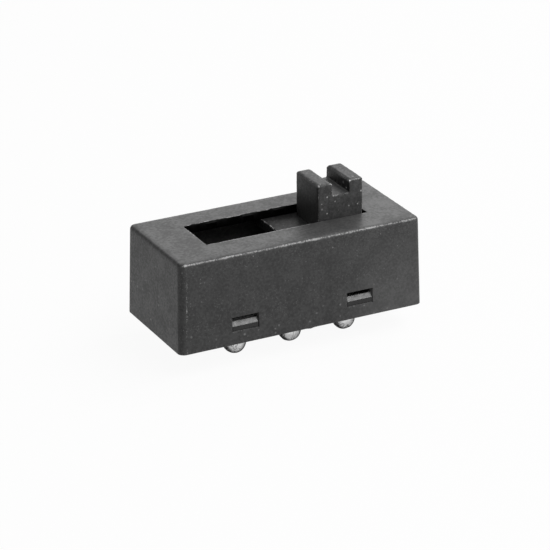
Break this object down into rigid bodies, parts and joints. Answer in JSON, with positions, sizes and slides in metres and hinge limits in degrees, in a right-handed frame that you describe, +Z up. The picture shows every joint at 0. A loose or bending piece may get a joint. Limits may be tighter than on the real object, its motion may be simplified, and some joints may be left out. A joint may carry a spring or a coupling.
{
  "type": "slide switch",
  "caption": "Black moulded slide switch with a forked knob in a long slot, snap-in terminal board and round-nosed rivet terminals.",
  "frame": {"origin": "middle of the housing's length and width, in the plane of the terminals' tips", "axes": "+X along the travel towards the knob's rest position, +Y towards the back row of terminals, +Z up, out of the slotted face"},
  "size_m": [0.0308, 0.0142, 0.0179],
  "materials": {
    "housing_plastic": "matte black, finely grained",
    "slider_plastic": "matte black",
    "board_plastic": "matte black",
    "tinned_brass": "tinned, bright",
    "silver": "satin silver",
    "copper_alloy": "rolled sheet",
    "spring_steel": "drawn wire",
    "ball_steel": "polished"
  },
  "bodies": {
    "switch_body": {"housing": "housing_plastic", "terminal_board": "board_plastic", "terminal_front_left": "tinned_brass", "terminal_front_middle": "tinned_brass", "terminal_front_right": "tinned_brass", "terminal_back_left": "tinned_brass", "terminal_back_middle": "tinned_brass", "terminal_back_right": "tinned_brass", "fixed_contact_front_left": "silver", "fixed_contact_front_middle": "silver", "fixed_contact_front_right": "silver", "fixed_contact_back_left": "silver", "fixed_contact_back_middle": "silver", "fixed_contact_back_right": "silver"},
    "slider_body": {"slider": "slider_plastic", "contact_spring": "spring_steel", "detent_spring": "spring_steel"},
    "bridge_body": {"contact_bridge": "copper_alloy", "bridge_contact_front": "silver", "bridge_contact_back": "silver"},
    "ball_body": {"detent_ball": "ball_steel"}
  },
  "joints": [
    {"name": "slider_travel", "type": "slide", "parent": "switch_body", "child": "slider_body", "axis": [1, 0, 0], "range_m": [-0.014, 0]},
    {"name": "bridge_float", "type": "slide", "parent": "slider_body", "child": "bridge_body", "axis": [0, 0, 1], "range_m": [0, 0.0004], "stiffness_N_per_m": 60, "springref_m": -0.0005, "deforming": ["contact_spring"]},
    {"name": "detent_lift", "type": "slide", "parent": "slider_body", "child": "ball_body", "axis": [0, 0, 1], "range_m": [0, 0.0003], "stiffness_N_per_m": 30, "springref_m": -0.0003, "deforming": ["detent_spring"]}
  ]
}
